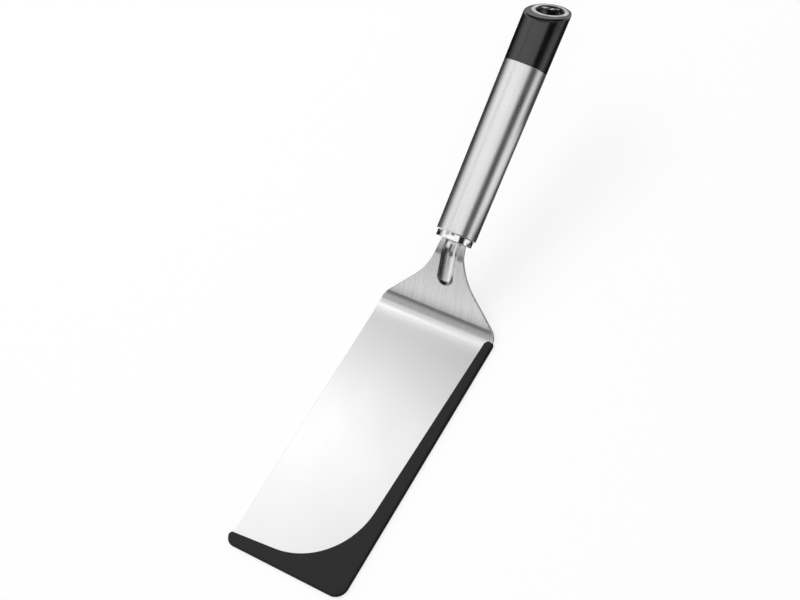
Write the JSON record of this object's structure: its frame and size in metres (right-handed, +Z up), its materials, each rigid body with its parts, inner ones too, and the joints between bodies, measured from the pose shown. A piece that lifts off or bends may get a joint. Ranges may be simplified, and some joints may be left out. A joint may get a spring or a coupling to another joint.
{
  "type": "turner",
  "caption": "Kitchen turner: bent steel blade with a soft edge moulded along one side and the front, on a steel tube handle with a slanted end cap and a hanging eye.",
  "frame": {"origin": "centre of the bottom of the turner's overall box, on the plane that the soft edge's underside rests on", "axes": "+Y from the blade's front edge towards the handle's end, +X towards the long side that carries the soft edge, +Z up from the table"},
  "size_m": [0.0738, 0.3222, 0.088],
  "materials": {
    "stamped_steel": "satin",
    "silicone": "matte",
    "polished_steel": "polished",
    "core_plastic": "matte",
    "satin_steel": "satin",
    "cap_plastic": "semi-gloss"
  },
  "bodies": {
    "root": {"blade": "stamped_steel", "soft_edge": "silicone", "collar": "polished_steel", "tang_core": "core_plastic", "handle_tube": "satin_steel", "end_cap": "cap_plastic", "hanging_eye": "polished_steel"}
  },
  "joints": []
}
